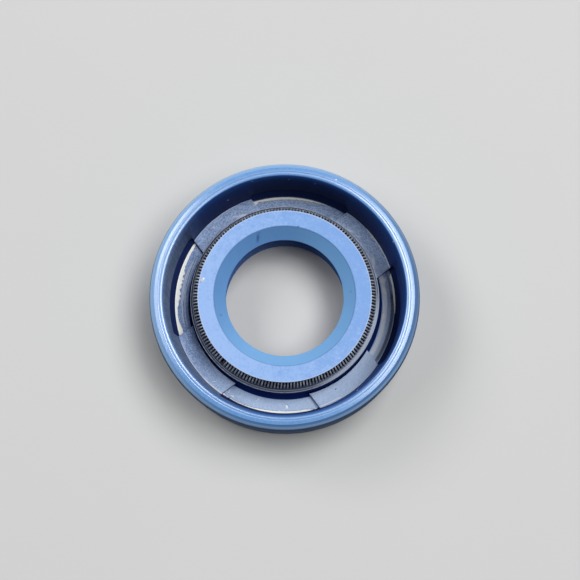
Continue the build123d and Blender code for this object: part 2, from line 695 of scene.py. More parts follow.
@dataclass(frozen=True)
class FlangeRubber:
    """The flange with its worn edge, darker to the left and paler to the right as painted shade and light,
    and the groove, neck and channel round it painted dark as shade.
    """

    dark: Colour = (0.010, 0.018, 0.050)
    plain: Colour = (0.048, 0.068, 0.120)
    pale: Colour = (0.340, 0.400, 0.500)
    worn: Colour = (0.460, 0.520, 0.640)
    # painted shade: near-black in the groove behind the spring, navy in the channel
    groove: Colour = (0.001, 0.003, 0.012)
    hollow_shade: Colour = (0.002, 0.020, 0.150)
    right: Point = (0.87, -0.42)
    plain_fade: Fade = Fade(-4.5, 0.0)
    pale_fade: Fade = Fade(6.4, 8.0)
    worn_fade: Fade = Fade(0.35, 0.55, 0.3, 1.0)
    zone: Zone = Zone(8.30, 9.10, 3.60, 4.40)
    edge_zone: Zone = Zone(8.90, 9.00, 4.06, 4.30, 0.03)
    line_zone: Zone = Zone(8.70, 8.74, 4.06, 4.30, 0.03, 0.5)
    groove_zone: Zone = Zone(7.15, 8.42, 4.05, 5.78, 0.04)
    hollow_zones: tuple[Zone, ...] = (Zone(8.20, 9.12, 1.00, 3.40, 0.08), Zone(8.20, 9.38, 1.00, 1.60, 0.05))

    def over(self, sheet: NodeSheet, under: Socket, mottle: Socket) -> Socket:
        """Lays the flange's colours over the body's.

        Args:
            sheet: The material's node sheet.
            under: The colour so far.
            mottle: The cloudiness of the bloom, between 0 and 1.

        Returns:
            The colour with the flange, the groove, the neck and the channel.
        """
        # painted shade and light: the flange dark on the left, pale on the right
        right = sheet.lean(self.right)
        flange = sheet.mix(sheet.ease(right, self.plain_fade), self.dark, self.plain)
        flange = sheet.mix(sheet.ease(right, self.pale_fade), flange, self.pale)
        colour = self.zone.paint(sheet, under, flange)
        worn = sheet.times(self.edge_zone.share(sheet), sheet.ease(mottle, self.worn_fade))
        colour = self.line_zone.paint(sheet, sheet.mix(worn, colour, self.worn), self.worn)
        # painted shade in the groove behind the spring and in the neck and channel
        colour = self.groove_zone.paint(sheet, colour, self.groove)
        for zone in self.hollow_zones:
            colour = zone.paint(sheet, colour, self.hollow_shade)
        return colour


@dataclass(frozen=True)
class OutsideRubber:
    """The outside: plain blue, paler at the back left as painted light, darker below the shoulder in front as
    painted shade, with a painted highlight along the front edge.
    """

    pale: Colour = (0.270, 0.490, 0.830)
    low: Colour = (0.006, 0.034, 0.110)
    back_left: Point = (-0.75, 0.60)
    pale_fade: Fade = Fade(-8.0, 9.0)
    front_shade_fade: Fade = Fade(2.0, -8.0)
    shade_height_fade: Fade = Fade(6.55, 6.22, 0.0, 0.85)
    zone: Zone = Zone(12.05, 13.0, 0.0, 8.0)
    edge_zone: Zone = Zone(12.27, 12.40, 6.42, 6.74, 0.06, 0.6)

    def over(self, sheet: NodeSheet, under: Socket) -> Socket:
        """Lays the outside's colours over the body's.

        Args:
            sheet: The material's node sheet.
            under: The colour so far.

        Returns:
            The colour with the outside.
        """
        _, y, z = sheet.parts(sheet.place)
        # painted light: paler towards the back left
        pale = sheet.ease(sheet.lean(self.back_left), self.pale_fade)
        outside = sheet.mix(pale, BODY_BLUE, self.pale)
        # painted shade: darker below the shoulder at the front
        front = sheet.ease(y, self.front_shade_fade)
        outside = sheet.mix(sheet.ease(z, self.shade_height_fade), outside, sheet.mix(front, BODY_BLUE, self.low))
        # painted highlight: pale line along the front edge of the shoulder
        edge = sheet.times(front, self.edge_zone.share(sheet))
        return self.zone.paint(sheet, under, sheet.mix(edge, outside, self.pale))


@dataclass(frozen=True)
class RimRubber:
    """The rim: plain glossy blue with a fine, faint mottle and one line darkened as painted shade."""

    plain: Colour = (0.125, 0.310, 0.670)
    pale: Colour = (0.180, 0.385, 0.760)
    fine: Clouds = Clouds(7.0)
    fine_share: float = 0.6
    pale_fade: Fade = Fade(0.36, 0.64)
    flat_fade: Fade = Fade(0.78, 0.96)
    gloss_fade: Fade = Fade(0.55, 0.80)
    zone: Zone = Zone(11.20, 13.0, 6.45, 8.0)
    # painted shade: the fine mould line darkened
    line_zone: Zone = Zone(11.585, 11.635, 6.80, 7.10, 0.035, 0.65)

    def over(self, sheet: NodeSheet, under: Socket, mottle: Socket) -> Socket:
        """Lays the rim's colours over the body's.

        Args:
            sheet: The material's node sheet.
            under: The colour so far.
            mottle: The cloudiness of the bloom, between 0 and 1.

        Returns:
            The colour with the rim.
        """
        cloud = sheet.blend(sheet.noise(self.fine), mottle, self.fine_share)
        rim = sheet.mix(sheet.ease(cloud, self.pale_fade), self.plain, self.pale)
        on_rim = sheet.times(self.zone.share(sheet), sheet.ease(sheet.facing, self.flat_fade))
        # painted shade along the mould line
        return self.line_zone.paint(sheet, sheet.mix(on_rim, under, rim), BODY_BLUE)


@dataclass(frozen=True)
class FloorRubber:
    """The pads and the skin in the windows: brushed, paler to the front right as painted light, with painted
    highlights on the pads' rounded edges.
    """

    plain: Colour = (0.410, 0.550, 0.840)
    shaded: Colour = (0.170, 0.260, 0.460)
    painted_light_pale: Colour = (0.560, 0.720, 0.930)
    strokes: Lines = Lines(5.0, 2.6, Clouds(1.0, 2.0, 0.5), 0.75)
    cloud: Clouds = Clouds(4.5)
    speckle: Clouds = Clouds(8.0)
    stroke_share: float = 0.6
    grain_share: float = 0.55
    plain_fade: Fade = Fade(0.42, 0.58)
    scuff_fade: Fade = Fade(0.56, 0.72, 0.0, 0.45)
    front_right: Point = (0.60, -0.80)
    painted_light_fade: Fade = Fade(-1.0, 9.0, 0.0, 0.62)
    brush_fade: Fade = Fade(0.50, 0.66)
    flat_fade: Fade = Fade(0.5, 0.85)
    edge_highlight_fades: tuple[Fade, Fade] = (Fade(0.985, 0.85), Fade(0.15, 0.40, 0.0, 0.8))
    pad_zone: Zone = Zone(9.12, 10.80, 2.00, 2.20, 0.05)
    skin_zone: Zone = Zone(9.42, 10.79, 1.55, 1.75, 0.05)
    brushed_zone: Zone = Zone(9.20, 9.45, 2.05, 2.20, 0.22)

    def colour(self, sheet: NodeSheet) -> Socket:
        """The floors' own colour.

        Args:
            sheet: The material's node sheet.

        Returns:
            The colour, paler in strokes along the pads' inner edge.
        """
        strokes = sheet.streaks(self.strokes)
        grain = sheet.blend(strokes, sheet.noise(self.cloud), self.stroke_share)
        shade = sheet.blend(grain, sheet.noise(self.speckle), self.grain_share)
        colour = sheet.mix(sheet.ease(shade, self.plain_fade), self.shaded, self.plain)
        colour = sheet.mix(sheet.ease(grain, self.scuff_fade), colour, SCUFF_AND_HIGHLIGHT)
        # painted light: the floors paler towards the front right
        chalk = sheet.ease(sheet.lean(self.front_right), self.painted_light_fade)
        colour = sheet.mix(chalk, colour, self.painted_light_pale)
        brushed = sheet.times(self.brushed_zone.share(sheet), sheet.ease(strokes, self.brush_fade))
        return sheet.mix(brushed, colour, SCUFF_AND_HIGHLIGHT)

    def over(self, sheet: NodeSheet, under: Socket) -> Socket:
        """Lays the floors' colours over the body's.

        Args:
            sheet: The material's node sheet.
            under: The colour so far.

        Returns:
            The colour with the pads, painted highlights on their rounded edges, and the skin.
        """
        on_pad = self.pad_zone.share(sheet)
        on_floor = sheet.calc(Sum.LARGER, on_pad, self.skin_zone.share(sheet))
        on_flat = sheet.times(on_floor, sheet.ease(sheet.facing, self.flat_fade))
        colour = sheet.mix(on_flat, under, self.colour(sheet))
        # painted highlight: pale colour on the pads' rounded edges
        turn = sheet.times(*(sheet.ease(sheet.facing, fade) for fade in self.edge_highlight_fades))
        return sheet.mix(sheet.times(on_pad, turn), colour, SCUFF_AND_HIGHLIGHT)


@dataclass(frozen=True)
class BlueRubber(Finish):
    """Blue nitrile rubber as it leaves the mould, with a pale bloom on its flats that is also painted sheen:
    flats pale and walls deep by the way they face.
    """

    lip: LipRubber = LipRubber()
    wall: WallRubber = WallRubber()
    flange: FlangeRubber = FlangeRubber()
    outside: OutsideRubber = OutsideRubber()
    rim: RimRubber = RimRubber()
    floor: FloorRubber = FloorRubber()
    marks: tuple[Mark | Streak, ...] = ()

    flat_fade: Fade = Fade(0.70, 0.95)
    wall_fade: Fade = Fade(0.25, 0.70)
    coarse_mottle: Clouds = Clouds(1.3, 2.0, 0.5)
    fine_mottle: Clouds = Clouds(4.0, 4.0, 0.65)
    coarse_share: float = 0.4
    mark_clouds: Clouds = Clouds(5.0, 2.0, 0.5)
    mark_wobble: float = 0.07
    streak_clouds: Clouds = Clouds(3.0, 2.0, 0.5)
    streak_wobble: float = 0.025
    peel: Clouds = Clouds(3.0, 2.0, 0.5)
    peel_depth: float = 0.003
    grain: Clouds = Clouds(16.0)
    grain_depth: float = 0.002
    roughness: float = 0.55
    rough_span: Point = (0.25, 0.75)
    rough_spread: Point = (-0.04, 0.05)
    wall_roughness: float = 0.85
    rim_roughness: float = 0.32
    coat_roughness: float = 0.24
    coat_ior: float = 1.9
    specular: float = 0.35

    def colour(self, sheet: NodeSheet, mottle: Socket) -> Socket:
        """The rubber's colour.

        Args:
            sheet: The material's node sheet.
            mottle: The cloudiness of the bloom, between 0 and 1.

        Returns:
            The colour everywhere on the body.
        """
        # bloom and painted sheen: flats take the pale colours and walls the deep ones by the way they face
        on_flat = sheet.calc(Sum.LARGER, sheet.ease(sheet.facing, self.flat_fade), self.lip.zone.share(sheet))
        colour = sheet.mix(on_flat, self.wall.colour(sheet), self.lip.colour(sheet, mottle))
        colour = self.flange.over(sheet, colour, mottle)
        colour = self.outside.over(sheet, colour)
        colour = self.rim.over(sheet, colour, mottle)
        colour = self.floor.over(sheet, colour)
        # painted shade: navy at the foot of the windows' walls
        for zone in self.wall.shaded_foot_zones:
            colour = zone.paint(sheet, colour, FOOT_SHADE_NAVY)
        uneven = sheet.wobble(self.mark_clouds, self.mark_wobble)
        nearly_even = sheet.wobble(self.streak_clouds, self.streak_wobble)
        for mark in self.marks:
            where = nearly_even if isinstance(mark, Streak) else uneven
            colour = sheet.mix(mark.share(sheet, where), colour, mark.colour)
        return colour

    def rough(self, sheet: NodeSheet, mottle: Socket, on_rim: Socket) -> Socket:
        """The rubber's roughness: uneven flats, dull walls and a smooth rim.

        Args:
            sheet: The material's node sheet.
            mottle: The cloudiness of the bloom, between 0 and 1.
            on_rim: How far the surface lies on the rim.

        Returns:
            The roughness.
        """
        limits = [self.roughness + part for part in self.rough_spread]
        flats = sheet.ease(mottle, Fade(*self.rough_span, *limits))
        on_wall = sheet.calc(Sum.SUBTRACT, 1.0, sheet.ease(sheet.facing, self.wall_fade))
        rise = sheet.times(on_wall, self.wall_roughness - self.roughness)
        drop = sheet.times(on_rim, self.wall_roughness - self.rim_roughness)
        rough = sheet.calc(Sum.SUBTRACT, sheet.calc(Sum.ADD, flats, rise), drop)
        return sheet.calc(Sum.LARGER, rough, self.rim_roughness)

    def material(self) -> bpy.types.Material:
        """The rubber's material.

        Returns:
            The new material, with an orange peel and a fine grain over its colours.
        """
        sheet = NodeSheet("blue_rubber")
        coarse, fine = sheet.noise(self.coarse_mottle), sheet.noise(self.fine_mottle)
        mottle = sheet.blend(coarse, fine, self.coarse_share)
        on_rim = self.rim.zone.share(sheet)
        peel = sheet.bump(sheet.noise(self.peel), self.peel_depth)
        sheet.surface(
            Base_Color=self.colour(sheet, mottle),
            Roughness=self.rough(sheet, mottle, on_rim),
            Normal=sheet.bump(sheet.noise(self.grain), self.grain_depth, peel),
            Coat_Weight=sheet.times(on_rim, sheet.ease(sheet.facing, self.rim.gloss_fade)),
            Coat_Roughness=self.coat_roughness,
            Coat_IOR=self.coat_ior,
            Specular_IOR_Level=self.specular,
        )
        return sheet.material


@dataclass(frozen=True)
class BareSteel(Finish):
    """Bare cold-rolled sheet with traces of bonding agent."""

    bright: Colour = (0.86, 0.87, 0.84)
    stained: Colour = (0.60, 0.58, 0.46)
    stains: Clouds = Clouds(1.6, 5.0, 0.65)
    stain_fade: Fade = Fade(0.58, 0.80)
    fine: Clouds = Clouds(22.0)
    rough_fade: Fade = Fade(0.3, 0.7, 0.50, 0.70)
    relief: float = 0.003
    metallic: float = 0.25

    def material(self) -> bpy.types.Material:
        """The steel's material.

        Returns:
            The new material, bright, with thin stains and a fine grain.
        """
        sheet = NodeSheet("case_steel")
        fine = sheet.noise(self.fine)
        stain = sheet.ease(sheet.noise(self.stains), self.stain_fade)
        sheet.surface(
            Base_Color=sheet.mix(stain, self.bright, self.stained),
            Roughness=sheet.ease(fine, self.rough_fade),
            Normal=sheet.bump(fine, self.relief),
            Metallic=self.metallic,
        )
        return sheet.material


@dataclass(frozen=True)
class DrawnWire(Finish):
    """Spring wire: painted shade on the flanks where the coils face each other, painted glints along their
    crests.
    """

    coil_gap_shade: Colour = (0.012, 0.015, 0.024)
    dull: Colour = (0.180, 0.205, 0.260)
    bright: Colour = (0.600, 0.660, 0.760)
    ring_r: float = 7.95
    ring_height: float = 4.85
    crest_glint_fade: Fade = Fade(0.595, 0.670)
    patches: Clouds = Clouds(2.5, 4.0)
    patch_fade: Fade = Fade(0.35, 0.65)
    fine: Clouds = Clouds(30.0)
    rough_fade: Fade = Fade(0.3, 0.7, 0.30, 0.45)
    relief: float = 0.002
    metallic: float = 0.5
    nib: Mark = Mark(236.5, 8.35, 5.15, 0.34, 0.20, (0.60, 0.66, 0.76), core=0.3)

    def material(self) -> bpy.types.Material:
        """The wire's material.

        Returns:
            The new material, with painted shade on the flanks, painted glints on the crests and finer
            patches.
        """
        sheet = NodeSheet("spring_steel")
        across = sheet.calc(Sum.SUBTRACT, sheet.radius(sheet.place), self.ring_r)
        up = sheet.calc(Sum.SUBTRACT, sheet.parts(sheet.place)[2], self.ring_height)
        crest_glint = sheet.ease(sheet.distance(across, up), self.crest_glint_fade)
        metal = sheet.mix(sheet.ease(sheet.noise(self.patches), self.patch_fade), self.dull, self.bright)
        # painted glints on the crests, painted shade on the flanks
        colour = sheet.mix(crest_glint, self.coil_gap_shade, metal)
        fine = sheet.noise(self.fine)
        sheet.surface(
            Base_Color=sheet.mix(self.nib.share(sheet, sheet.place), colour, self.nib.colour),
            Roughness=sheet.ease(fine, self.rough_fade),
            Normal=sheet.bump(fine, self.relief),
            Metallic=self.metallic,
        )
        return sheet.material


@dataclass(frozen=True)
class PaleFloor(Finish):
    """Plain pale studio floor."""

    colour: Colour = (0.62, 0.625, 0.62)
    darkening: float = 0.97
    clouds: Clouds = Clouds(0.05, 2.0, 0.5)
    roughness: float = 0.9

    def material(self) -> bpy.types.Material:
        """The floor's material.

        Returns:
            The new material, matt, with faint unevenness.
        """
        sheet = NodeSheet("pale_floor")
        darker = tuple(self.darkening * part for part in self.colour)
        colour = sheet.mix(sheet.noise(self.clouds), self.colour, darker)
        sheet.surface(Base_Color=colour, Roughness=self.roughness)
        return sheet.material


# ---------------------------------------------------------------- section lines

TURN_LIMIT = 0.45       # the most of a side that a rounded corner takes
RUN_GUARD = 0.02        # share of a run between its ends and the stations next to them


class Run(Enum):
    """The straight runs of a section, by what the body's build does with them."""

    PLAIN = "plain"
    SKIN = "skin"
    WALL = "wall"


class Cut(Enum):
    """Where the body's section is taken."""

    PAD = "pad"
    WINDOW = "window"


@dataclass(frozen=True)
class Corner:
    """A corner of a section, rounded by starting the turn a little before it.

    Its steps divide the rounding, and its run steps divide the straight run that leads up to it.
    """

    r: float
    z: float
    ease: float = 0.0
    steps: int = 0
    run_steps: int = 0
    run: Run = Run.PLAIN

    def ends(self) -> tuple[Point, Point]:
        """Where the section enters and leaves the corner, before rounding."""
        return (self.r, self.z), (self.r, self.z)

    def points(self, before: Point, after: Point) -> list[Point]:
        """Points of the rounded corner.

        Args:
            before: The point that the section comes from.
            after: The point that it goes on to.

        Returns:
            The points in order, from the turn's start to its end.
        """
        here = np.array((self.r, self.z))
        if not self.steps:
            return [tuple(here)]
        starts = []
        for other in (np.array(before), np.array(after)):
            reach = np.linalg.norm(other - here)
            starts.append(here + (other - here) / reach * min(self.ease, TURN_LIMIT * reach))
        shares = np.linspace(0.0, 1.0, self.steps + 1)[:, None]
        curve = (1 - shares) ** 2 * starts[0] + 2 * (1 - shares) * shares * here + shares**2 * starts[1]
        return [tuple(point) for point in curve]


@dataclass(frozen=True)
class Sweep:
    """A round stretch of a section.

    Its steps divide the stretch, and its run steps divide the straight run that leads up to it.
    """

    centre: Point
    radius: float
    start: float
    end: float
    steps: int
    run_steps: int = 0
    run: Run = Run.PLAIN

    def at(self, angle: float) -> Point:
        """The point of the stretch at an angle in degrees."""
        turn = math.radians(angle)
        return self.centre[0] + self.radius * math.cos(turn), self.centre[1] + self.radius * math.sin(turn)

    def ends(self) -> tuple[Point, Point]:
        """The stretch's two ends."""
        return self.at(self.start), self.at(self.end)

    def points(self, before: Point, after: Point) -> list[Point]:
        """Points of the stretch, in order. Its neighbours don't change it."""
        return [self.at(angle) for angle in np.linspace(self.start, self.end, self.steps + 1)]


@dataclass(frozen=True)
class Section:
    """A closed section line, as stations with the run that each lies on."""

    items: tuple[Corner | Sweep, ...]

    def stations(self) -> tuple[np.ndarray, list[Run]]:
        """The stations of the whole line.

        Returns:
            Radius and height of each station, and its run.
        """
        count = len(self.items)
        solid = []
        for index, item in enumerate(self.items):
            before = self.items[index - 1].ends()[1]
            after = self.items[(index + 1) % count].ends()[0]
            solid.append(item.points(before, after))
        places: list[Point] = []
        runs: list[Run] = []
        for index in range(count):
            places += solid[index]
            runs += [Run.PLAIN] * len(solid[index])
            following = self.items[(index + 1) % count]
            start, end = np.array(solid[index][-1]), np.array(solid[(index + 1) % count][0])
            for share in self.run_shares(following):
                places.append(tuple(start + (end - start) * share))
                runs.append(following.run)
        return np.array(places), runs

    def run_shares(self, item: Corner | Sweep) -> list[float]:
        """Where the straight run up to an item is divided.

        Args:
            item: The item at the run's end.

        Returns:
            Shares of the run's length, with one close to each end.
        """
        if item.run_steps < 2:
            return []
        inner = np.linspace(0.0, 1.0, item.run_steps)[1:-1]
        return [RUN_GUARD, *(float(share) for share in inner), 1.0 - RUN_GUARD]


# ---------------------------------------------------------------- windows and pads


@dataclass(frozen=True)
class BareSpot:
    """A spot where the rubber skin is missing."""

    bearing: float
    radius: float
    half_angle: float
    half_width: float


@dataclass(frozen=True)
class Window:
    """One window between two pads: how far the rubber skin reaches over the steel."""

    centre: float
    skin_edge: tuple[Point, ...]
    ragged: float
    outer_edge: float = 10.70
    spots: tuple[BareSpot, ...] = ()
    wave: float = 0.9
    ripple: float = 2.3
    ripple_share: float = 0.6
    ripple_row: float = 7.0
    tear: float = 0.03
    spot_core: float = 0.6

    def edge(self, bearing: np.ndarray) -> np.ndarray:
        """Radius where the skin ends.

        Args:
            bearing: Bearings from the window's centre, in degrees.

        Returns:
            The radius at each bearing, in millimetres.
        """
        marks = sorted(self.skin_edge)
        level = np.interp(bearing, [mark[0] for mark in marks], [mark[1] for mark in marks])
        return level + self.ragged * np.array([self.wander(angle) for angle in bearing])

    def wander(self, angle: float) -> float:
        """How far the torn edge wanders at a bearing.

        Args:
            angle: The bearing from the window's centre, in degrees.

        Returns:
            The way off the edge's line, as a share of its raggedness.
        """
        wave = noise.noise(Vector((angle * self.wave, self.centre, 0.0)))
        ripple = noise.noise(Vector((angle * self.ripple, self.ripple_row, self.centre)))
        return wave + self.ripple_share * ripple

    def bareness(self, bearing: np.ndarray, radius: np.ndarray) -> np.ndarray:
        """How bare the steel lies, from 0 under full skin to 1.

        Args:
            bearing: Bearings from the window's centre, in degrees, one to a line of the mesh.
            radius: Radii of the stations, the same for every line.

        Returns:
            One row for each line, one column for each station.
        """
        bare = smooth(radius[None, :] - self.edge(bearing)[:, None], -self.tear, self.tear)
        bare = bare * smooth(radius, self.outer_edge + self.tear, self.outer_edge - self.tear)[None, :]
        for spot in self.spots:
            across = (radius[None, :] - spot.radius) / spot.half_width
            along = (bearing[:, None] - spot.bearing) / spot.half_angle
            reach = np.sqrt(across**2 + along**2)
            bare = np.maximum(bare, 1.0 - smooth(reach, self.spot_core, 1.0))
        return bare


@dataclass(frozen=True)
class PadLayout:
    """Four pads with parallel sides and the lines of the mesh that follow them."""

    count: int = 4
    width: float = 6.95
    first: float = 45.0
    middle_r: float = 10.0
    edge_offsets: tuple[float, ...] = (-0.080, -0.045, -0.018, 0.0, 0.012, 0.022, 0.037, 0.062)
    edge_shares: tuple[float, ...] = (0.0, 0.015, 0.045, 0.11, 0.89, 0.955, 0.985, 1.0)
    wall_change: float = 1.4
    wall_settle: float = 2.5
    steepest: float = 0.95
    pad_lines: int = 17
    window_lines: int = 41

    def half_pitch(self) -> float:
        """Bearing from a pad's centre to the next window's centre, in degrees."""
        return 180.0 / self.count

    def side(self, offset: float = 0.0) -> float:
        """Bearing from a pad's centre to its side at the middle radius, in degrees."""
        return math.degrees(math.asin((self.width / 2 + offset) / self.middle_r))

    def half_lines(self) -> tuple[np.ndarray, np.ndarray]:
        """Lines from a pad's centre to the next window's centre.

        Returns:
            Their bearings at the middle radius in degrees, and 0 for pad to 1 for window.
        """
        sides = [self.side(offset) for offset in self.edge_offsets]
        over_pad = np.linspace(0.0, sides[0], self.pad_lines + 1)[:-1]
        over_window = np.linspace(sides[-1], self.half_pitch(), self.window_lines + 1)[1:]
        bearings = np.concatenate([over_pad, sides, over_window])
        shares = np.concatenate([np.zeros(len(over_pad)), self.edge_shares, np.ones(len(over_window))])
        return bearings, shares

    def lines(self) -> tuple[np.ndarray, np.ndarray, np.ndarray]:
        """Lines of the whole ring.

        Returns:
            The bearing of each line's pad, its own bearing from there, and 0 for pad to 1 for window.
        """
        bearings, shares = self.half_lines()
        around = np.concatenate([-bearings[:0:-1], bearings[:-1]])
        window = np.concatenate([shares[:0:-1], shares[:-1]])
        pads = self.first + np.arange(self.count) * 360.0 / self.count
        return np.repeat(pads, len(around)), np.tile(around, self.count), np.tile(window, self.count)

    def wall_share(self, around: np.ndarray) -> np.ndarray:
        """How far each line's wall has passed from a pad's to a window's, over a soft change.

        Args:
            around: Bearing of each line from its pad, in degrees.

        Returns:
            0 beside a pad to 1 in a window.
        """
        side = self.side()
        return smooth(np.abs(around), side - self.wall_change, side + self.wall_settle * self.wall_change)

    def bearing_at(self, around: np.ndarray, r: np.ndarray, follow: np.ndarray) -> np.ndarray:
        """Bearings at other radii, kept parallel to the pad's sides near them.

        Args:
            around: Bearing of each line at the middle radius, in degrees from its pad.
            r: Radius of each point, one row for each line.
            follow: How far each point follows the pads, from 0 to 1.

        Returns:
            The bearing of each point from its pad, in degrees.
        """
        side, size = self.side(), np.abs(around)
        beyond = smooth(size, self.half_pitch(), side)
        weight = np.where(size < side, smooth(size, 0.0, side), beyond)[:, None]
        offset = self.middle_r * np.sin(np.radians(around))[:, None]
        parallel = np.degrees(np.arcsin(np.clip(offset / r, -self.steepest, self.steepest)))
        return around[:, None] + weight * follow * (parallel - around[:, None])


# ---------------------------------------------------------------- rubber body


@dataclass
class RubberBody:
    """The moulded body: outside, rim, wall, pads and windows, sealing lip and dust lip."""

    outer_r: float
    width: float
    pads: PadLayout = field(default_factory=PadLayout)
    windows: tuple[Window, ...] = ()
    finish: BlueRubber = field(default_factory=BlueRubber)

    # outside and rim
    lead_in: float = 0.45
    lead_in_length: float = 0.9
    rim_shoulder: float = 0.95
    rim_bevel: float = 0.3
    rim_edge_width: float = 0.58
    rim_bead: float = 0.36
    bead_step: float = 0.07
    bead_sink: float = 0.005
    bead_end: float = 84.0
    rim_line: float = 0.006
    line_place: Point = (0.125, 0.022)
    land_start: float = 0.090
    land_end: float = 0.02
    land_step: Point = (0.05, 0.04)
    land_fall: float = 0.095

    # channel, pads and windows
    steel_top: float = 1.55
    pad_top: float = 2.1
    pad_inner_r: float = 9.15
    pad_outer_r: float = 10.75
    pad_ridge: float = 0.03
    ridge_width: float = 0.045
    crease_width: float = 0.01
    low_wall: float = 0.5
    wall_edge_r: float = 11.05
    wall_edge_depth: float = 0.55
    window_wall_r: float = 11.1
    window_foot: float = 0.65
    skin: float = 0.1
    skin_inner_r: float = 9.45
    strip_outer_r: float = 10.62
    sunk: float = 0.05
    foot_turn: Point = (0.03, -0.02)
    foot_rise: Point = (0.11, 0.25)
    foot_bottom: float = 1.4
    channel_floor: float = 1.25
    neck_outer_r: float = 8.35

    # where the mesh's lines start and end to follow the pads' sides
    follow_inner: Point = (8.4, 9.0)
    follow_outer: Point = (11.6, 11.15)
    follow_height: Point = (0.3, 1.0)

    # sealing lip and spring groove
    lip_r: float = 5.55
    lip_band: float = 0.2
    lip_edge: float = 4.4
    lip_face_depth: float = 1.05
    lip_face_inner_r: float = 6.63
    lip_face_outer_r: float = 8.12
    spring_r: float = 7.95
    spring_depth: float = 1.1
    groove_r: float = 0.695
    flange_r: float = 8.95
    flange_thickness: float = 0.42
    throat_r: float = 6.75
    throat_height: float = 2.5

    # dust lip and back
    dust_r: float = 5.85
    dust_edge: float = 0.45
    dust_root_r: float = 7.1
    dust_root_top: float = 1.45
    dust_root_bottom: float = 0.7
    grease_r: float = 7.25
    grease_height: float = 1.9
    recess_r: float = 7.35

    def outside(self) -> list[Corner | Sweep]:
        """The outside, from the shoulder of the rim down to the recess in the back.

        Returns:
            Its items, in order.
        """
        return [
            Corner(self.outer_r, self.width - self.rim_shoulder, 0.4, 5, 2),
            Corner(self.outer_r, self.lead_in_length, 0.15, 2, 2),
            Corner(self.outer_r - self.lead_in, 0.0, 0.12, 2, 2),
            Corner(self.recess_r, 0.0, 0.06, 2, 2),
        ]

    def dust_lip(self) -> list[Corner | Sweep]:
        """The dust lip and the grease space behind it.

        Returns:
            Its items, in order.
        """
        return [
            Corner(self.dust_root_r, self.dust_root_bottom, 0.08, 2),
            Corner(self.dust_r, self.dust_edge, 0.03, 2, 2),
            Corner(self.dust_root_r, self.dust_root_top, 0.10, 2, 2),
            Corner(self.grease_r, self.grease_height, 0.10, 2),
            Corner(self.throat_r, self.throat_height, 0.25, 2),
        ]

    def sealing_lip(self) -> list[Corner | Sweep]:
        """The sealing lip, its face, the spring groove and the flange under the spring.

        Returns:
            Its items, in order.
        """
        face = self.width - self.lip_face_depth
        spring_height = face - self.spring_depth
        flange_top = spring_height - self.groove_r
        flange_bottom = flange_top - self.flange_thickness
        mouth = math.degrees(math.acos((self.lip_face_outer_r - self.spring_r) / self.groove_r))
        return [
            Corner(self.lip_r, self.lip_edge, 0.015, 1, 2),
            Corner(self.lip_r, self.lip_edge + self.lip_band, 0.015, 1),
            Corner(self.lip_face_inner_r, face, 0.05, 3, 3),
            Corner(self.lip_face_outer_r, face, 0.07, 4, 2),
            Sweep((self.spring_r, spring_height), self.groove_r, mouth, 270.0, 10),
            Corner(self.flange_r, flange_top, 0.12, 3, 2),
            Corner(self.flange_r, flange_bottom, 0.12, 2),
            Corner(self.neck_outer_r, flange_bottom - (self.flange_r - self.neck_outer_r), 0.25, 2),
        ]

    def channel(self, cut: Cut) -> list[Corner | Sweep]:
        """The channel's round floor and what lies outside it: a pad, or a window's skin and foot.

        Args:
            cut: Where the section is taken.

        Returns:
            The items from the channel to the wall's top edge.
        """
        radius = (self.pad_inner_r - self.neck_outer_r) / 2
        centre = (self.neck_outer_r + radius, self.channel_floor + radius)
        wall_edge = self.width - self.wall_edge_depth
        draft = (self.wall_edge_r - self.pad_outer_r) / (wall_edge - self.pad_top)
        if cut is Cut.PAD:
            return [
                Sweep(centre, radius, 180.0, 360.0, 9, 2),
                Corner(self.pad_inner_r, self.pad_top, 0.05, 4),
                Corner(self.strip_outer_r, self.pad_top, 0.0, 0, 22, Run.SKIN),
                Corner(self.pad_outer_r - self.ridge_width, self.pad_top + self.pad_ridge, 0.03, 4),
                Corner(self.pad_outer_r + self.crease_width, self.pad_top - 2 * self.pad_ridge, 0.02, 4),
                Corner(self.pad_outer_r + self.low_wall * draft, self.pad_top + self.low_wall, 0.1, 4),
                Corner(self.wall_edge_r, wall_edge, 0.06, 3, 4, Run.WALL),
            ]
        skin_top = self.steel_top + self.skin
        slope_start = math.degrees(-math.acos(1.0 - self.skin / radius))
        return [
            Sweep(centre, radius, 180.0, 360.0 + slope_start, 9, 2),
            Corner(self.skin_inner_r, skin_top, 0.09, 4),
            Corner(self.strip_outer_r, self.steel_top - self.sunk, 0.0, 0, 22, Run.SKIN),
            Corner(self.strip_outer_r + self.foot_turn[0], self.steel_top + self.foot_turn[1], 0.02, 4),
            Corner(self.strip_outer_r + self.foot_rise[0], self.steel_top + self.foot_rise[1], 0.06, 4),
            Corner(self.window_wall_r, self.steel_top + self.window_foot, 0.3, 4),
            Corner(self.wall_edge_r, wall_edge, 0.06, 3, 4, Run.WALL),
        ]

    def rim(self) -> list[Corner | Sweep]:
        """The rim: rounded bead, a fine mould line, a land that falls outwards, a step and the bevel.

        Returns:
            Its items, in order.
        """
        land_outer = self.outer_r - self.rim_edge_width
        top = self.width
        bead_r = self.wall_edge_r + self.bead_step + self.rim_bead
        line_r = bead_r + self.line_place[0]
        return [
            Sweep((bead_r, top - self.bead_sink - self.rim_bead), self.rim_bead, 180.0, self.bead_end, 13),
            Corner(line_r, top - self.line_place[1] - self.rim_line, 0.04, 5),
            Corner(line_r + self.land_start, top, 0.07, 6),
            Corner(land_outer + self.land_end, top - self.land_fall, 0.03, 4),
            Corner(land_outer + self.land_step[0], top - self.land_fall - self.land_step[1], 0.02, 3),
            Corner(land_outer + self.rim_bevel, top - self.rim_bevel, 0.10, 3, 2),
        ]

